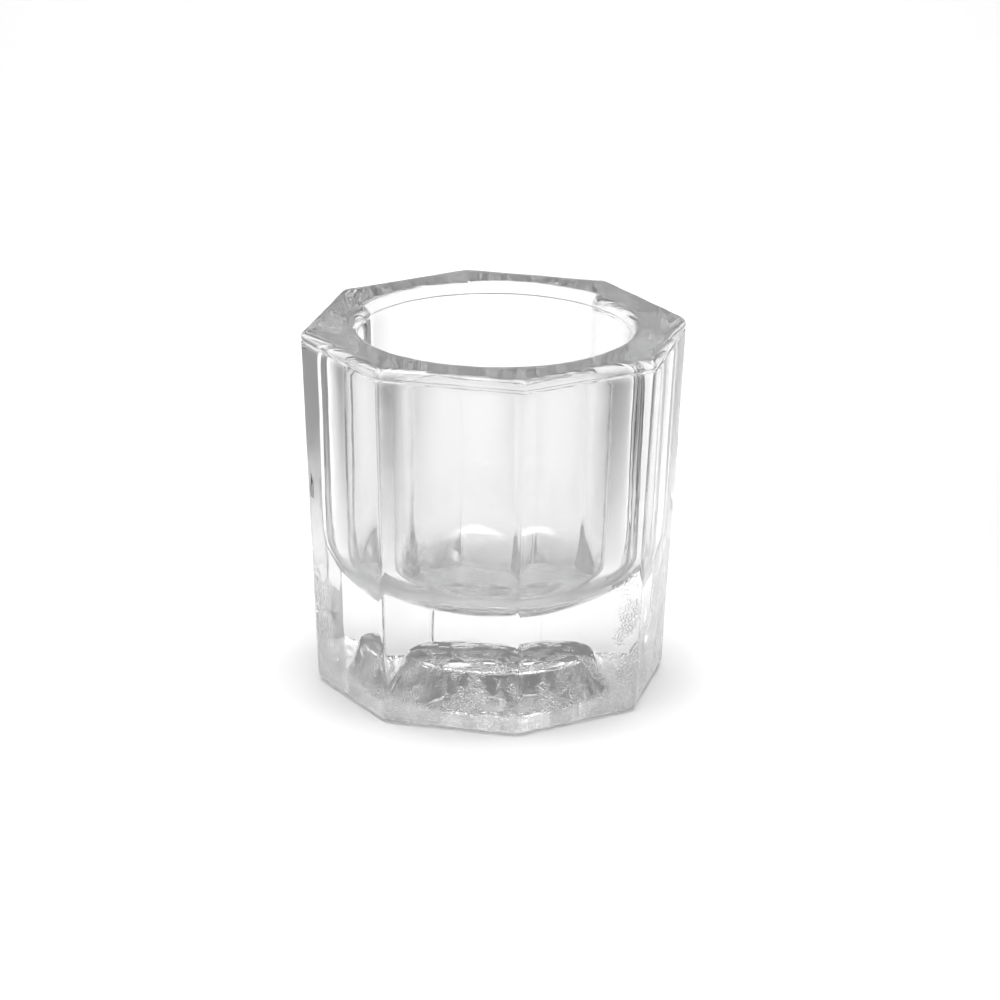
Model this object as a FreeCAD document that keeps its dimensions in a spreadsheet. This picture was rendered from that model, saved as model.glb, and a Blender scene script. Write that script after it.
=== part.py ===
"""A small pressed-glass dappen dish: an eight-sided cup, a little wider at the rim than at the base.

A deep round well opens at the top, and a shallow second well opens at the underside.
The dish is pressed from one gob of glass, so the document holds one body.
Frame: +Z up, origin at the middle of the base, a flat side square to each of +X, -X, +Y and -Y.
Lengths are in millimetres and angles in degrees.
"""

import FreeCAD
import Part
import Sketcher
import math
import os

SIDES = 8
HALF_CORNER_ANGLE = 180.0 / SIDES  # from the middle of a side to its corner, seen from the axis
CLEAR = 2.0  # how far a hollow's cutting profile carries on past the face that it opens in
TOUCH = 1e-3  # two heights closer than this are the same height

# Alias in the sheet, value, and what it is.
DIMENSIONS = [
    ("base_height", 0.0, "underside of the foot ring, which the dish stands on"),
    ("dish_height", 38.3, "rim above the base"),
    ("rim_across_flats", 37.2, "side to opposite side, at the rim"),
    ("base_across_flats", 33.8, "side to opposite side, at the base"),
    ("side_edge_round", 1.25, "rounding of the upright edges between the sides"),
    ("lip_round", 1.0, "rounding of the rim's outer edge"),
    ("foot_round", 0.9, "rounding of the base's outer edge"),
    ("well_mouth_radius", 14.0, "well's wall, run straight on to the height of the rim"),
    ("well_floor_radius", 13.3, "well's wall, run straight on to the height of its floor"),
    ("well_floor_height", 9.5, "lowest point of the well's floor above the base"),
    ("well_dish_radius", 26.0, "curve of the well's floor, which dips to its middle"),
    ("well_corner_round", 4.0, "rounding between the well's wall and its floor"),
    ("mouth_round", 1.2, "rounding of the rim's inner edge"),
    ("under_mouth_radius", 9.6, "underside well's wall, run straight on to the base"),
    ("under_ceiling_radius", 7.0, "underside well's wall, run straight on to its highest point"),
    ("under_ceiling_height", 5.0, "highest point of the underside well above the base"),
    ("under_dome_radius", 40.0, "curve of the underside well's ceiling, which rises to its middle"),
    ("under_corner_round", 0.8, "rounding between the underside well's wall and ceiling"),
    ("under_mouth_round", 0.5, "rounding of the underside well's open edge"),
]

# Which dimension plays each role in a hollow: where its straight wall starts and ends, and the
# curve of its closed end.
WELL = {
    "mouth_radius": "well_mouth_radius",
    "mouth_height": "dish_height",
    "end_radius": "well_floor_radius",
    "end_height": "well_floor_height",
    "curve": "well_dish_radius",
}
UNDER_WELL = {
    "mouth_radius": "under_mouth_radius",
    "mouth_height": "base_height",
    "end_radius": "under_ceiling_radius",
    "end_height": "under_ceiling_height",
    "curve": "under_dome_radius",
}


def make_sheet(doc):
    """The spreadsheet of driving dimensions, one row each: alias, value, meaning."""
    sheet = doc.addObject("Spreadsheet::Sheet", "dimensions")
    for row, (alias, value, meaning) in enumerate(DIMENSIONS, start=1):
        sheet.set(f"A{row}", alias)
        sheet.set(f"B{row}", str(value))
        sheet.setAlias(f"B{row}", alias)
        sheet.set(f"C{row}", meaning)
    doc.recompute()
    return sheet


def origin_plane(body, role):
    """One of the body's own origin planes, such as XY_Plane."""
    return next(plane for plane in body.Origin.OriginFeatures if plane.Role == role)


def new_sketch(body, name, role):
    """An empty sketch on one of the body's origin planes."""
    sketch = body.newObject("Sketcher::SketchObject", name)
    sketch.AttachmentSupport = [(origin_plane(body, role), "")]
    sketch.MapMode = "FlatFace"
    return sketch


def dimension(sketch, name, constraint, expression):
    """Adds a named sketch dimension that follows the sheet."""
    index = sketch.addConstraint(constraint)
    sketch.renameConstraint(index, name)
    sketch.setExpression(f"Constraints.{name}", expression)


def outline_octagon(sketch, across_flats, expression):
    """A regular octagon round the sketch's origin, with a side square to each axis."""
    radius = across_flats / 2 / math.cos(math.radians(HALF_CORNER_ANGLE))
    centre = FreeCAD.Vector(0, 0, 0)
    corners = []
    for n in range(SIDES):
        angle = math.radians(HALF_CORNER_ANGLE * (2 * n + 1))
        corners.append(FreeCAD.Vector(radius * math.cos(angle), radius * math.sin(angle), 0))
    for n in range(SIDES):
        sketch.addGeometry(Part.LineSegment(corners[n], corners[(n + 1) % SIDES]), False)
    circle = sketch.addGeometry(Part.Circle(centre, FreeCAD.Vector(0, 0, 1), radius), True)
    sketch.addConstraint(Sketcher.Constraint("Coincident", circle, 3, -1, 1))
    for side in range(SIDES):
        after = (side + 1) % SIDES
        sketch.addConstraint(Sketcher.Constraint("Coincident", side, 2, after, 1))
        sketch.addConstraint(Sketcher.Constraint("PointOnObject", side, 1, circle))
        if side:
            sketch.addConstraint(Sketcher.Constraint("Equal", 0, side))
    side_along_x = SIDES // 4 - 1
    sketch.addConstraint(Sketcher.Constraint("Horizontal", side_along_x))
    corner_circle = f"{expression} / 2 / cos({HALF_CORNER_ANGLE} deg)"
    dimension(sketch, "corner_circle", Sketcher.Constraint("Radius", circle, radius), corner_circle)


def wall_meets_end(mouth_radius, mouth_height, end_radius, end_height, curve):
    """Radius and height at which a hollow's straight wall meets its curved end."""
    across = mouth_radius - end_radius
    up = mouth_height - end_height
    a = across**2 + up**2
    b = 2 * (end_radius * across - curve * abs(up))
    c = end_radius**2
    part_way = (-b - math.sqrt(b**2 - 4 * a * c)) / (2 * a)
    return end_radius + across * part_way, end_height + up * part_way


def outline_hollow(sketch, roles, size):
    """Half the section of a hollow of revolution, on the XZ plane.

    The wall is straight, and the closed end is an arc centred on the axis. The wall follows two
    points that lie on it, where it would reach the open face and the height of the closed end.
    """
    mouth_radius = size[roles["mouth_radius"]]
    mouth_height = size[roles["mouth_height"]]
    end_radius = size[roles["end_radius"]]
    end_height = size[roles["end_height"]]
    curve = size[roles["curve"]]
    opens_up = mouth_height > end_height
    clear = CLEAR if opens_up else -CLEAR
    lean = (mouth_radius - end_radius) / (mouth_height - end_height)

    corner_radius, corner_height = wall_meets_end(
        mouth_radius, mouth_height, end_radius, end_height, curve
    )
    corner = FreeCAD.Vector(corner_radius, corner_height, 0)
    wall_top = FreeCAD.Vector(mouth_radius + lean * clear, mouth_height + clear, 0)
    axis_top = FreeCAD.Vector(0, mouth_height + clear, 0)
    axis_end = FreeCAD.Vector(0, end_height, 0)
    centre = FreeCAD.Vector(0, end_height + math.copysign(curve, clear), 0)
    circle = Part.Circle(centre, FreeCAD.Vector(0, 0, 1), curve)
    corner_angle = math.atan2(corner.y - centre.y, corner.x)
    if opens_up:
        arc, at_axis, at_wall = Part.ArcOfCircle(circle, -math.pi / 2, corner_angle), 1, 2
    else:
        arc, at_axis, at_wall = Part.ArcOfCircle(circle, corner_angle, math.pi / 2), 2, 1

    closed_end = sketch.addGeometry(arc, False)
    wall = sketch.addGeometry(Part.LineSegment(corner, wall_top), False)
    open_end = sketch.addGeometry(Part.LineSegment(wall_top, axis_top), False)
    on_axis = sketch.addGeometry(Part.LineSegment(axis_top, axis_end), False)
    sketch.addConstraint(Sketcher.Constraint("Coincident", closed_end, at_wall, wall, 1))
    sketch.addConstraint(Sketcher.Constraint("Coincident", wall, 2, open_end, 1))
    sketch.addConstraint(Sketcher.Constraint("Coincident", open_end, 2, on_axis, 1))
    sketch.addConstraint(Sketcher.Constraint("Coincident", on_axis, 2, closed_end, at_axis))
    sketch.addConstraint(Sketcher.Constraint("Horizontal", open_end))
    sketch.addConstraint(Sketcher.Constraint("PointOnObject", on_axis, 1, -2))
    sketch.addConstraint(Sketcher.Constraint("PointOnObject", on_axis, 2, -2))
    sketch.addConstraint(Sketcher.Constraint("PointOnObject", closed_end, 3, -2))

    for name, radius, height in (
        ("mouth", mouth_radius, mouth_height),
        ("end", end_radius, end_height),
    ):
        point = sketch.addGeometry(Part.Point(FreeCAD.Vector(radius, height, 0)), True)
        across = Sketcher.Constraint("DistanceX", -1, 1, point, 1, radius)
        dimension(sketch, f"{name}_radius", across, f"dimensions.{roles[name + '_radius']}")
        if height:
            upward = Sketcher.Constraint("DistanceY", -1, 1, point, 1, height)
            dimension(sketch, f"{name}_height", upward, f"dimensions.{roles[name + '_height']}")
        else:
            sketch.addConstraint(Sketcher.Constraint("PointOnObject", point, 1, -1))
        sketch.addConstraint(Sketcher.Constraint("PointOnObject", point, 1, wall))
    upward = Sketcher.Constraint("DistanceY", -1, 1, closed_end, at_axis, end_height)
    dimension(sketch, "closed_height", upward, f"dimensions.{roles['end_height']}")
    rounding = Sketcher.Constraint("Radius", closed_end, curve)
    dimension(sketch, "curve", rounding, f"dimensions.{roles['curve']}")
    upward = Sketcher.Constraint("DistanceY", -1, 1, wall, 2, mouth_height + clear)
    dimension(sketch, "open_height", upward, f"dimensions.{roles['mouth_height']} + {clear}")
    return corner_height


def edges_between(shape, low, high):
    """Names of the edges that run from the height low to the height high."""
    names = []
    for n, edge in enumerate(shape.Edges, start=1):
        if edge.Degenerated:
            continue  # the point at the middle of a curved floor
        heights = [point.z for point in edge.discretize(9)]
        if abs(min(heights) - low) < TOUCH and abs(max(heights) - high) < TOUCH:
            names.append(f"Edge{n}")
    return names


def circles_at(shape, height):
    """Names of the circular edges that lie at a height."""
    flat = edges_between(shape, height, height)
    return [name for name in flat if isinstance(shape.getElement(name).Curve, Part.Circle)]


def add_rounding(doc, body, name, edges, expected, expression):
    """Rounds named edges of the body's newest feature."""
    if len(edges) != expected:
        raise RuntimeError(f"{name} found {len(edges)} edges, not {expected}")
    newest = body.Tip
    rounding = body.newObject("PartDesign::Fillet", name)
    rounding.Base = (newest, edges)
    rounding.setExpression("Radius", expression)
    doc.recompute()


def add_hollow(doc, body, name, roles, size):
    """Turns a hollow out of the body, and gives the height of the circle round its closed end."""
    sketch = new_sketch(body, f"{name}_section", "XZ_Plane")
    corner_height = outline_hollow(sketch, roles, size)
    doc.recompute()
    before = body.Shape.Volume
    hollow = body.newObject("PartDesign::Groove", name)
    hollow.Profile = sketch
    hollow.ReferenceAxis = (sketch, ["V_Axis"])
    hollow.Angle = 360.0
    doc.recompute()
    if body.Shape.Volume > before - 1.0:
        raise RuntimeError(f"{name} took no glass away")
    return corner_height


def add_block(doc, body, size):
    """The eight-sided block, its sides leaning out towards the rim, with rounded edges."""
    sketch = new_sketch(body, "base_outline", "XY_Plane")
    outline_octagon(sketch, size["base_across_flats"], "dimensions.base_across_flats")
    doc.recompute()
    block = body.newObject("PartDesign::Pad", "block")
    block.Profile = sketch
    block.setExpression("Length", "dimensions.dish_height")
    doc.recompute()

    sides = []
    for n, face in enumerate(block.Shape.Faces, start=1):
        if abs(face.normalAt(0, 0).z) < TOUCH:
            sides.append(f"Face{n}")
    if len(sides) != SIDES:
        raise RuntimeError(f"the block has {len(sides)} sides, not {SIDES}")
    lean = body.newObject("PartDesign::Draft", "side_lean")
    lean.Base = (block, sides)
    lean.NeutralPlane = (origin_plane(body, "XY_Plane"), [""])
    lean.Reversed = True
    spread = "(dimensions.rim_across_flats - dimensions.base_across_flats) / 2"
    lean.setExpression("Angle", f"atan({spread} / dimensions.dish_height)")
    doc.recompute()
    if lean.Shape.Volume < block.Shape.Volume:
        raise RuntimeError("the sides lean inwards")

    rim = size["dish_height"]
    upright = edges_between(body.Shape, 0, rim)
    add_rounding(doc, body, "side_edges", upright, SIDES, "dimensions.side_edge_round")
    lip = edges_between(body.Shape, rim, rim)
    add_rounding(doc, body, "lip", lip, 2 * SIDES, "dimensions.lip_round")
    foot = edges_between(body.Shape, 0, 0)
    add_rounding(doc, body, "foot", foot, 2 * SIDES, "dimensions.foot_round")


def add_well(doc, body, size):
    """The deep well: a wall that narrows downwards, a rounded corner and a dished floor."""
    corner_height = add_hollow(doc, body, "well", WELL, size)
    corner = circles_at(body.Shape, corner_height)
    add_rounding(doc, body, "well_corner", corner, 1, "dimensions.well_corner_round")
    mouth = circles_at(body.Shape, size["dish_height"])
    add_rounding(doc, body, "well_mouth", mouth, 1, "dimensions.mouth_round")


def add_under_well(doc, body, size):
    """The shallow second well in the underside, which leaves a foot ring to stand on."""
    corner_height = add_hollow(doc, body, "under_well", UNDER_WELL, size)
    corner = circles_at(body.Shape, corner_height)
    add_rounding(doc, body, "under_corner", corner, 1, "dimensions.under_corner_round")
    mouth = circles_at(body.Shape, size["base_height"])
    add_rounding(doc, body, "under_mouth", mouth, 1, "dimensions.under_mouth_round")


def make_glass_dish(doc, size):
    """The whole dish, as one body."""
    body = doc.addObject("PartDesign::Body", "glass_dish")
    body.Label = "glass_dish"
    add_block(doc, body, size)
    add_well(doc, body, size)
    add_under_well(doc, body, size)
    return body


def check(doc, pieces):
    """Stops the script if a feature failed or a piece isn't one sound solid."""
    for item in doc.Objects:
        if "Invalid" in item.State or "Error" in item.State:
            raise RuntimeError(f"{item.Name} failed: {item.State}")
    for piece in pieces:
        shape = piece.Shape
        if shape.isNull() or not shape.isValid() or len(shape.Solids) != 1:
            raise RuntimeError(f"{piece.Label} is not one sound solid")


def main():
    doc = FreeCAD.newDocument("dappen_dish")
    make_sheet(doc)
    size = {alias: value for alias, value, _ in DIMENSIONS}
    pieces = [make_glass_dish(doc, size)]
    doc.recompute()
    check(doc, pieces)
    os.makedirs("parts", exist_ok=True)
    for piece in pieces:
        piece.Shape.exportStep(f"parts/{piece.Label}.step")
        print(f"{piece.Label}: {piece.Shape.Volume / 1000:.2f} cm3")


main()
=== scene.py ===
"""Looks of the glass dappen dish: one piece of pressed glass on a plain pale floor. Units are metres."""

import math

import bmesh
import bpy
from mathutils import Matrix, Vector, noise


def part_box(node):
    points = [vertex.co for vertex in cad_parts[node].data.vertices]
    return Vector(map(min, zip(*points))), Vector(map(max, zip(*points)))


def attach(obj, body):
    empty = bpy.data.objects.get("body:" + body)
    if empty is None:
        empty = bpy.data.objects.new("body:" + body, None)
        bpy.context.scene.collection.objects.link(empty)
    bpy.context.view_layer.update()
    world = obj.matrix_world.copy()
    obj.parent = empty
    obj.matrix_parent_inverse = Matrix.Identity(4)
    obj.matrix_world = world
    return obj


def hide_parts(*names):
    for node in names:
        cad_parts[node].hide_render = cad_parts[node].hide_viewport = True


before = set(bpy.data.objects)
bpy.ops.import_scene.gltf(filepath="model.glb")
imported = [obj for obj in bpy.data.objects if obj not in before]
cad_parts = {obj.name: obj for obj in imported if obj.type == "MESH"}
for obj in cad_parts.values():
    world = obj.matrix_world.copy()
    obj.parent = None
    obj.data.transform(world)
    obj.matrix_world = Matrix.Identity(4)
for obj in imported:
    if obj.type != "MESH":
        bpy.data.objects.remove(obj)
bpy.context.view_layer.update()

MM = 0.001
SIDES = 8
SIDE_ANGLE = 2 * math.pi / SIDES
FLAT_TO_CORNER = 1 / math.cos(SIDE_ANGLE / 2)

# ---------------------------------------------------------------- sizes of the dish
dish_low, dish_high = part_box("glass_dish")
HEIGHT = dish_high[2] - dish_low[2]
SIDE_LEAN = 1.7 * MM / HEIGHT  # how much a side comes in towards the base, per unit of height
LIP_ROUND = 1.0 * MM
RIM_FLAT = (dish_high[0] - dish_low[0]) / 2 + SIDE_LEAN * LIP_ROUND  # axis to a side, at the rim
BASE_FLAT = RIM_FLAT - SIDE_LEAN * HEIGHT
EDGE_ROUND = 1.25 * MM
FOOT_ROUND = 0.9 * MM

# "mouth" and "closed" are a well's wall, from the axis, at its mouth and at its full depth. "bowl"
# is the curve of its closed end, "corner" and "lip" round its edges, and "parting" is how deep the
# mould's line is cut just inside the mouth.
WELL = {
    "mouth": 14.0 * MM, "closed": 13.3 * MM, "depth": 28.8 * MM, "bowl": 26 * MM, "corner": 4.0 * MM,
    "lip": 1.2 * MM, "parting": 0.12 * MM,
}
UNDER = {
    "mouth": 9.6 * MM, "closed": 7.0 * MM, "depth": 5.0 * MM, "bowl": 40 * MM, "corner": 0.8 * MM,
    "lip": 0.5 * MM, "parting": 0,
}
LIP_BAND = 2.2 * MM  # the top of the dish, where the glass is dimpled most
FOOT_BAND = 0.3 * MM
OUTSIDE_FROM = UNDER["mouth"] * 1.2  # a seam ridge starts this far from the axis
PARTING_WIDTH = 0.4 * MM
LIP_PARTING = 0.15 * MM
SEAM_AZIMUTHS = (22.5, 202.5)  # the two upright edges where the halves of the mould met
SEAM_WIDTH = 0.45 * MM
SEAM_RIDGE = 0.13 * MM
FLOOR_GAP = 0.06 * MM  # the stippled foot stands on its high points, so air is left under the ring

# How deep the glass sinks, in millimetres, for broad hollows, upright drawn streaks and dimples
BROAD, DRAWN, DIMPLED = 9 * MM, 2.2 * MM, 2.6 * MM
LIP_SINK = (0.035, 0, 0.045)
INSIDE_SINK = (0.030, 0.028, 0.010)
FOOT_SINK = (0, 0, 0.02)
OUTSIDE_SINK = (0.035, 0.030, 0.010)

EDGE_STEPS = 8  # faces round each upright edge
SIDE_STEPS = 20  # faces across each flat side

# ---------------------------------------------------------------- finish of the glass
GLASS_GREY = 0.82
GLASS_IOR = 1.5
STIPPLE_ROUGHNESS = 0.04
GRAIN_SIZE = 0.27 * MM
PATCH_SIZE = 2.4 * MM
SKIN_SIZE = 1.6 * MM
RELIEF_DEPTH = 0.25 * MM

# ---------------------------------------------------------------- sizes of the studio
CAMERA_AZIMUTH = 13.72
CAMERA_ELEVATION = 19.3
CAMERA_DISTANCE = 465.2 * MM
CAMERA_ROLL = 0.68
CAMERA_LENS = 162.0
CAMERA_SENSOR = 36.0
AIM_RIGHT = 0.73 * MM
AIM_DOWN = 0.12 * MM

ROOM_WALLS = 0.24
ROOM_WALLS_HIGH = 0.30  # above the pale wall on the camera's side
ROOM_PALE_WALL = 0.80
ROOM_CEILING = 0.55

FLOOR_RADIUS = 3.0
FLOOR_GREY = 0.9

SOFTBOX_SPREAD = 50
NEAR_SOFTBOX = {"behind": 0.01, "height": 0.17, "width": 0.14, "length": 0.30, "power": 0.142}
FAR_SOFTBOX = {"behind": 0.58, "height": 0.24, "width": 0.30, "length": 0.90, "power": 0.66}


def add_object(name, bm):
    """Makes an object of a finished mesh, at the origin."""
    mesh = bpy.data.meshes.new(name)
    bm.to_mesh(mesh)
    bm.free()
    made = bpy.data.objects.new(name, mesh)
    bpy.context.scene.collection.objects.link(made)
    return made


def facing(azimuth, elevation):
    """The direction that lies at an azimuth, measured from the front, and an elevation."""
    azimuth = math.radians(azimuth)
    elevation = math.radians(elevation)
    return Vector((
        math.sin(azimuth) * math.cos(elevation),
        -math.cos(azimuth) * math.cos(elevation),
        math.sin(elevation),
    ))


# ---------------------------------------------------------------- the glass mesh
def stretch(start, end, steps):
    """Evenly spaced points from start to end, without the first."""
    return [Vector(start).lerp(Vector(end), step / steps) for step in range(1, steps + 1)]


def arc(centre, start, end, steps):
    """Points round a centre from start to end, without the first."""
    spoke = Vector(start) - Vector(centre)
    turn = spoke.angle_signed(Vector(end) - Vector(centre))
    points = []
    for step in range(1, steps + 1):
        points.append(Vector(centre) + Matrix.Rotation(-turn * step / steps, 2) @ spoke)
    return points


def rounded(before, corner, after, radius, steps):
    """The arc that rounds a corner of the section, with its first point."""
    corner = Vector(corner)
    back = (Vector(before) - corner).normalized()
    ahead = (Vector(after) - corner).normalized()
    half = back.angle(ahead) / 2
    centre = corner + (back + ahead).normalized() * radius / math.sin(half)
    reach = radius / math.tan(half)
    start = corner + back * reach
    return [start] + arc(centre, start, corner + ahead * reach, steps)


def parting_line(start, end, depth):
    """The fine groove that the edge of a mould part leaves, cut into the glass from start to end."""
    along = (end - start).normalized()
    into_glass = Vector((-along.y, along.x))
    steps = 8
    points = []
    for step in range(1, steps + 1):
        sunk = depth * (1 - math.cos(2 * math.pi * step / steps)) / 2
        points.append(start.lerp(end, step / steps) + into_glass * sunk)
    return points


def hollow(size):
    """Half the section of a well, as (distance from the axis, depth), from its middle to its mouth."""
    mouth = Vector((size["mouth"], 0))
    down = (Vector((size["closed"], size["depth"])) - mouth).normalized()
    inward = Vector((-down.y, down.x))
    bowl_centre = Vector((0, size["depth"] - size["bowl"]))
    start = mouth + inward * size["corner"] - bowl_centre
    inner = size["bowl"] - size["corner"]
    along = -start.dot(down) + math.sqrt(start.dot(down) ** 2 - start.length_squared + inner ** 2)
    corner_centre = bowl_centre + start + down * along
    wall_end = mouth + down * along
    bowl_end = bowl_centre + (corner_centre - bowl_centre) * size["bowl"] / inner
    middle = Vector((0, size["depth"]))
    points = arc(bowl_centre, middle, bowl_end, 18)
    points += arc(corner_centre, bowl_end, wall_end, 16)
    edge = rounded(wall_end, mouth, mouth + Vector((1, 0)), size["lip"], 12)
    points += stretch(wall_end, edge[0] + down * PARTING_WIDTH, 30)
    return points + parting_line(points[-1], edge[0], size["parting"]) + edge[1:]


def section():
    """The dish's section, from the middle of the underside to the middle of the well's floor.

    Each stretch is (points, roundness at its start, roundness at its end): 0 is the eight-sided
    outline, measured to the middle of a side, and 1 is a circle.
    """
    under = hollow(UNDER)
    well = [Vector((point.x, HEIGHT - point.y)) for point in reversed(hollow(WELL))]
    base_edge = Vector((BASE_FLAT, 0))
    rim_edge = Vector((RIM_FLAT, HEIGHT))
    foot = rounded(under[-1], base_edge, rim_edge, FOOT_ROUND, 8)
    lip = rounded(base_edge, rim_edge, well[0], LIP_ROUND, 10)
    below_lip = lip[0] + (base_edge - rim_edge).normalized() * PARTING_WIDTH
    return [
        (under, 1, 1),
        (stretch(under[-1], foot[0], 6), 1, 0),
        (foot[1:], 0, 0),
        (stretch(foot[-1], below_lip, 56), 0, 0),
        (parting_line(below_lip, lip[0], LIP_PARTING), 0, 0),
        (lip[1:], 0, 0),
        (stretch(lip[-1], well[0], 6), 0, 1),
        (well[1:], 1, 1),
    ]


def outline(bm):
    """The eight-sided outline with rounded corners, one unit from the axis to each side."""
    made = bmesh.ops.create_circle(bm, segments=SIDES, radius=FLAT_TO_CORNER)
    bmesh.ops.rotate(bm, verts=made["verts"], matrix=Matrix.Rotation(SIDE_ANGLE / 2, 3, "Z"))
    reach = EDGE_ROUND / RIM_FLAT * math.tan(SIDE_ANGLE / 2)
    bmesh.ops.bevel(
        bm, geom=bm.verts[:], offset=reach, offset_type="OFFSET", segments=EDGE_STEPS,
        profile=0.5, affect="VERTICES", material=-1,
    )
    length = 2 * math.tan(SIDE_ANGLE / 2) - 2 * reach
    flats = [edge for edge in bm.edges if edge.calc_length() > length / 2]
    bmesh.ops.subdivide_edges(bm, edges=flats, cuts=SIDE_STEPS - 1)


def uneven(place, size, stretch_up=1.0):
    """A smooth random number from about 0 to 2, in patches as wide as size."""
    return noise.noise(Vector((place.x / size, place.y / size, place.z / (size * stretch_up)))) + 1


def seam_height(place, upright):
    """How far a seam ridge stands out at a place on the outside. upright is 0 on a level face."""
    height = 0
    for azimuth in SEAM_AZIMUTHS:
        seam = facing(azimuth, 0)
        off_seam = abs(seam.x * place.y - seam.y * place.x)
        if seam.dot(place) > 0 and off_seam < SEAM_WIDTH:
            height += upright * SEAM_RIDGE * (1 + math.cos(math.pi * off_seam / SEAM_WIDTH)) / 2
    return height


def press_marks(bm):
    """Lets the glass sink in a little, unevenly, as it does when it cools after the press."""
    bm.normal_update()
    sink = {}
    for vert in bm.verts:
        place = vert.co
        across = Vector((place.x, place.y)).length
        inside = across < WELL["mouth"] + WELL["lip"] and place.z > UNDER["depth"]
        marks = (
            uneven(place, BROAD, 1.6),
            uneven(place + Vector((0.1, 0, 0)), DRAWN, 7.0),
            uneven(place - Vector((0, 0.1, 0)), DIMPLED, 1.2),
        )
        if place.z > HEIGHT - LIP_BAND:
            depths = LIP_SINK
        elif inside:
            depths = INSIDE_SINK
        elif place.z < FOOT_BAND:
            depths = FOOT_SINK
        else:
            depths = OUTSIDE_SINK
        sink[vert] = MM * sum(depth * mark for depth, mark in zip(depths, marks))
        if not inside and across > OUTSIDE_FROM:
            sink[vert] -= seam_height(place, 1 - abs(vert.normal.z))
    for vert, depth in sink.items():
        vert.co -= vert.normal * depth


def make_dish():
    """Draws the outline up through the section, ring by ring, and closes both middles."""
    bm = bmesh.new()
    unit = bm.verts.layers.float_vector.new("unit")
    outline(bm)
    for vert in bm.verts:
        vert[unit] = vert.co
    ring_verts = bm.verts[:]
    ring_edges = bm.edges[:]
    first = True
    for points, round_start, round_end in section():
        for step, (flat, height) in enumerate(points, start=1):
            if not first:
                grown = bmesh.ops.extrude_edge_only(bm, edges=ring_edges)["geom"]
                ring_verts = [item for item in grown if isinstance(item, bmesh.types.BMVert)]
                ring_edges = [
                    item for item in grown
                    if isinstance(item, bmesh.types.BMEdge) and item.is_boundary
                ]
            roundness = round_start + (round_end - round_start) * step / len(points)
            for vert in ring_verts:
                place = (vert[unit] * flat).lerp(vert[unit].normalized() * flat, roundness)
                vert.co = (place.x, place.y, height)
            first = False
    bmesh.ops.holes_fill(bm, edges=[edge for edge in bm.edges if edge.is_boundary], sides=0)
    bmesh.ops.poke(bm, faces=[face for face in bm.faces if len(face.verts) > 4])
    bmesh.ops.recalc_face_normals(bm, faces=bm.faces[:])
    press_marks(bm)
    for face in bm.faces:
        face.smooth = True
    return add_object("pressed_glass_dish", bm)


# ---------------------------------------------------------------- materials
class Amount:
    """A number that may change over a surface. Arithmetic on it adds Math nodes."""

    def __init__(self, finish, socket):
        self.finish = finish
        self.socket = socket

    def __add__(self, other):
        return self.finish.math("ADD", self, other)

    def __radd__(self, other):
        return self.finish.math("ADD", other, self)

    def __sub__(self, other):
        return self.finish.math("SUBTRACT", self, other)

    def __rsub__(self, other):
        return self.finish.math("SUBTRACT", other, self)

    def __mul__(self, other):
        return self.finish.math("MULTIPLY", self, other)

    def __rmul__(self, other):
        return self.finish.math("MULTIPLY", other, self)

    def between(self, low, high):
        """0 below low, 1 above high, and a smooth change from one to the other."""
        settings = {"interpolation_type": "SMOOTHSTEP"}
        limits = {"Value": self, "From Min": low, "From Max": high}
        node = self.finish.node("ShaderNodeMapRange", settings, limits)
        return Amount(self.finish, node.outputs["Result"])


class Finish:
    """The nodes of a new material, or of the world, and one way of adding to them."""

    def __init__(self, owner):
        self.owner = owner
        owner.use_nodes = True
        self.tree = owner.node_tree

    def node(self, kind, settings, inputs):
        """Adds a node: its settings are made first, then its sockets get values or links."""
        node = self.tree.nodes.new(kind)
        for name, value in settings.items():
            setattr(node, name, value)
        pairs = inputs.items() if isinstance(inputs, dict) else enumerate(inputs)
        for name, value in pairs:
            self.feed(node.inputs[name], value)
        return node

    def feed(self, socket, value):
        """Gives a socket a value, or links it to another socket or an Amount."""
        source = value.socket if isinstance(value, Amount) else value
        if isinstance(source, bpy.types.NodeSocket):
            self.tree.links.new(source, socket)
        else:
            socket.default_value = source

    def math(self, operation, *values):
        """A Math node on numbers and Amounts, in the order given."""
        node = self.node("ShaderNodeMath", {"operation": operation}, values)
        return Amount(self, node.outputs[0])

    def part(self, vector, axis):
        """One coordinate of a vector."""
        return Amount(self, self.node("ShaderNodeSeparateXYZ", {}, [vector]).outputs[axis])

    def vector_number(self, operation, *vectors):
        """A number made from vectors, such as a length or a dot product."""
        node = self.node("ShaderNodeVectorMath", {"operation": operation}, vectors)
        return Amount(self, node.outputs["Value"])

    def place(self, scale=(1, 1, 1)):
        """Object coordinates, stretched."""
        where = self.node("ShaderNodeTexCoord", {}, {})
        inputs = {"Vector": where.outputs["Object"], "Scale": scale}
        return self.node("ShaderNodeMapping", {}, inputs).outputs["Vector"]

    def noise(self, where, size, detail):
        """Smooth random patches, as wide as size, from 0 to 1."""
        inputs = {"Vector": where, "Scale": 1 / size, "Detail": detail}
        return Amount(self, self.node("ShaderNodeTexNoise", {}, inputs).outputs["Fac"])

    def shade(self, amount, from_shade, to_shade):
        """A colour that goes from one shade to another. A shade is a grey level or a colour socket."""
        shades = [(level, level, level, 1) if isinstance(level, float) else level
                  for level in (from_shade, to_shade)]
        inputs = {0: amount, 6: shades[0], 7: shades[1]}
        return self.node("ShaderNodeMix", {"data_type": "RGBA"}, inputs).outputs[2]


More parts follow.
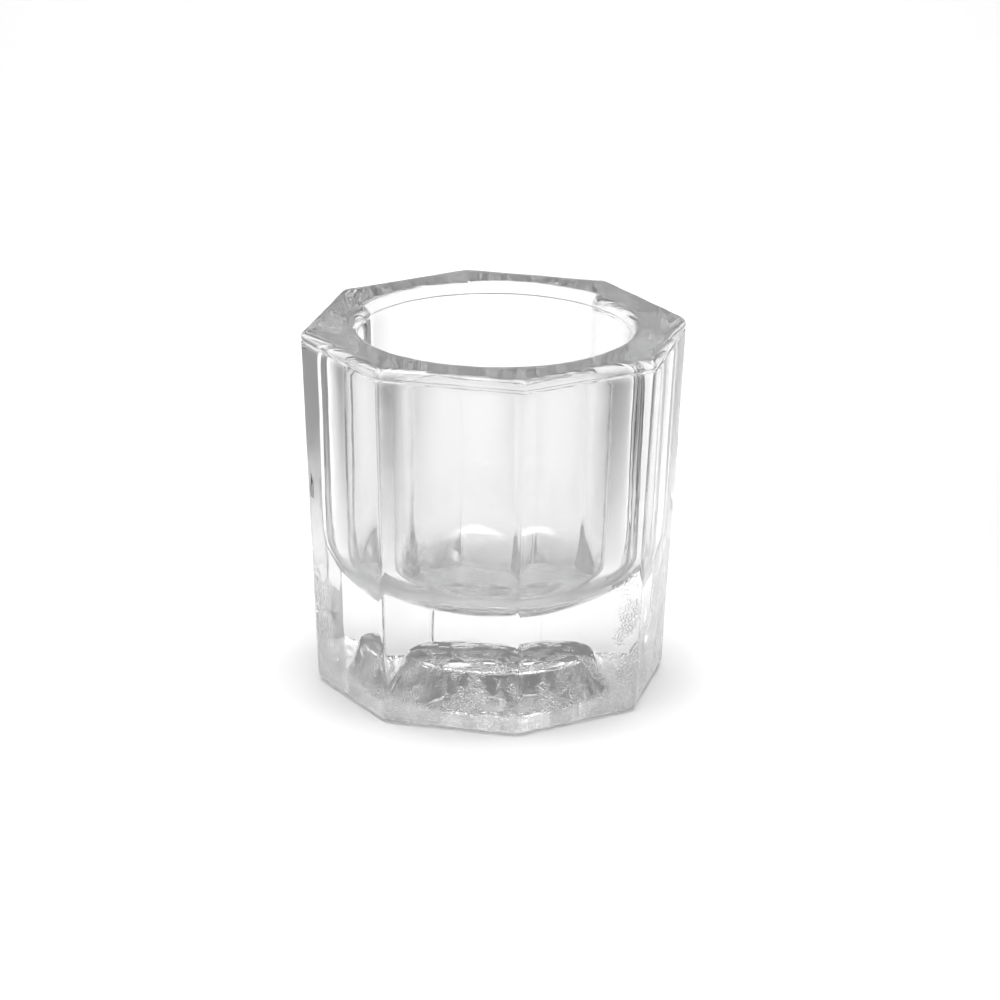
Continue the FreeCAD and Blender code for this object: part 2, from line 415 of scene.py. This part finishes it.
def glass_material():
    """Clear pressed glass, stippled on its foot, in the underside well and low on two sides."""
    finish = Finish(bpy.data.materials.new("clear_pressed_glass"))
    shader = finish.tree.nodes["Principled BSDF"]
    shader.inputs["Base Color"].default_value = (GLASS_GREY, GLASS_GREY, GLASS_GREY, 1)
    shader.inputs["IOR"].default_value = GLASS_IOR
    shader.inputs["Transmission Weight"].default_value = 1.0

    where = finish.place()
    height = finish.part(where, "Z")
    sideways = finish.math("ABSOLUTE", finish.part(where, "X"))
    from_axis = finish.vector_number("LENGTH", finish.place(scale=(1, 1, 0)))
    patches = finish.noise(where, PATCH_SIZE, 3.0)

    foot = 1 - height.between(0.1 * MM, 0.6 * MM)
    under_well = 1 - from_axis.between(UNDER["mouth"] + 0.8 * MM, UNDER["mouth"] + 1.2 * MM)
    under_well *= 1 - height.between(UNDER["depth"] + 0.3 * MM, UNDER["depth"] + 0.8 * MM)
    low_sides = sideways.between(14.0 * MM, 16.5 * MM) * (1 - height.between(4 * MM, 17 * MM))
    stippled = finish.math("MAXIMUM", foot, under_well * patches.between(0.44, 0.60) * 0.6)
    stippled = finish.math("MAXIMUM", stippled, low_sides * patches.between(0.44, 0.56) * 0.8)
    finish.feed(shader.inputs["Roughness"], stippled * STIPPLE_ROUGHNESS)

    grain = finish.noise(where, GRAIN_SIZE, 1.0).between(0.36, 0.64)
    skin = finish.noise(finish.place(scale=(1, 1, 0.3)), SKIN_SIZE, 2.0)
    relief = stippled * grain * 0.7 + skin * 0.03
    inputs = {"Height": relief, "Distance": RELIEF_DEPTH, "Strength": 1.0}
    bump = finish.node("ShaderNodeBump", {}, inputs)
    finish.feed(shader.inputs["Normal"], bump.outputs["Normal"])
    return finish.owner


def floor_material():
    finish = Finish(bpy.data.materials.new("pale_floor"))
    shader = finish.tree.nodes["Principled BSDF"]
    shader.inputs["Base Color"].default_value = (FLOOR_GREY, FLOOR_GREY, FLOOR_GREY, 1)
    shader.inputs["Roughness"].default_value = 0.6
    shader.inputs["Specular IOR Level"].default_value = 0.2
    return finish.owner


# ---------------------------------------------------------------- the studio
def make_floor():
    bm = bmesh.new()
    bmesh.ops.create_circle(bm, cap_ends=True, segments=96, radius=FLOOR_RADIUS)
    bmesh.ops.translate(bm, verts=bm.verts, vec=(0, 0, -FLOOR_GAP))
    floor = add_object("studio_floor", bm)
    floor.data.materials.append(floor_material())


def make_camera():
    """A long lens, aimed just beside and below the dish's middle."""
    camera_data = bpy.data.cameras.new("camera")
    camera_data.lens = CAMERA_LENS
    camera_data.sensor_width = CAMERA_SENSOR
    camera_data.clip_start = 0.01
    camera = bpy.data.objects.new("camera", camera_data)
    bpy.context.scene.collection.objects.link(camera)
    middle = Vector((0, 0, HEIGHT / 2))
    back = facing(CAMERA_AZIMUTH, CAMERA_ELEVATION)
    right = Vector((0, 0, 1)).cross(back).normalized()
    up = back.cross(right)
    aim = middle + right * AIM_RIGHT - up * AIM_DOWN
    place = middle + back * CAMERA_DISTANCE
    turn = (aim - place).to_track_quat("-Z", "Y").to_matrix().to_4x4()
    roll = Matrix.Rotation(math.radians(CAMERA_ROLL), 4, "Z")
    camera.matrix_world = Matrix.Translation(place) @ turn @ roll
    bpy.context.scene.camera = camera


def make_world():
    """A dim room, with a pale wall low on the camera's side and a paler ceiling."""
    world = bpy.data.worlds.new("studio_room")
    bpy.context.scene.world = world
    finish = Finish(world)
    direction = finish.node("ShaderNodeTexCoord", {}, {}).outputs["Generated"]
    towards_wall = finish.vector_number("DOT_PRODUCT", direction, facing(CAMERA_AZIMUTH - 4, 12))
    pale_wall = towards_wall.between(0.45, 0.85)
    upward = finish.part(direction, "Z")
    above_wall = pale_wall * upward.between(0.10, 0.30)
    room = finish.shade(pale_wall, ROOM_WALLS, ROOM_PALE_WALL)
    room = finish.shade(above_wall, room, ROOM_WALLS_HIGH)
    room = finish.shade(upward.between(0.55, 0.85), room, ROOM_CEILING)
    background = finish.tree.nodes["Background"]
    finish.feed(background.inputs["Color"], room)
    background.inputs["Strength"].default_value = 1.0
    bpy.context.scene.view_settings.view_transform = "Standard"


def set_bounces():
    """Light runs many times from side to side inside thick glass before it gets out."""
    settings = bpy.context.scene.cycles
    settings.max_bounces = 32
    settings.transmission_bounces = 32
    settings.glossy_bounces = 8


def make_softbox(name, place):
    """A soft light that faces straight down, its length in line with the camera's view."""
    light = bpy.data.lights.new(name, "AREA")
    light.shape = "RECTANGLE"
    light.size = place["width"]
    light.size_y = place["length"]
    light.energy = place["power"]
    light.spread = math.radians(SOFTBOX_SPREAD)
    lamp = bpy.data.objects.new(name, light)
    middle = facing(CAMERA_AZIMUTH, 0) * -place["behind"] + Vector((0, 0, place["height"]))
    turn = Matrix.Rotation(math.radians(CAMERA_AZIMUTH), 4, "Z")
    lamp.matrix_world = Matrix.Translation(middle) @ turn
    bpy.context.scene.collection.objects.link(lamp)


dish = make_dish()
dish.data.materials.append(glass_material())
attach(dish, "root")
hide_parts("glass_dish")
make_floor()
make_camera()
make_world()
make_softbox("near_softbox", NEAR_SOFTBOX)
make_softbox("far_softbox", FAR_SOFTBOX)
set_bounces()
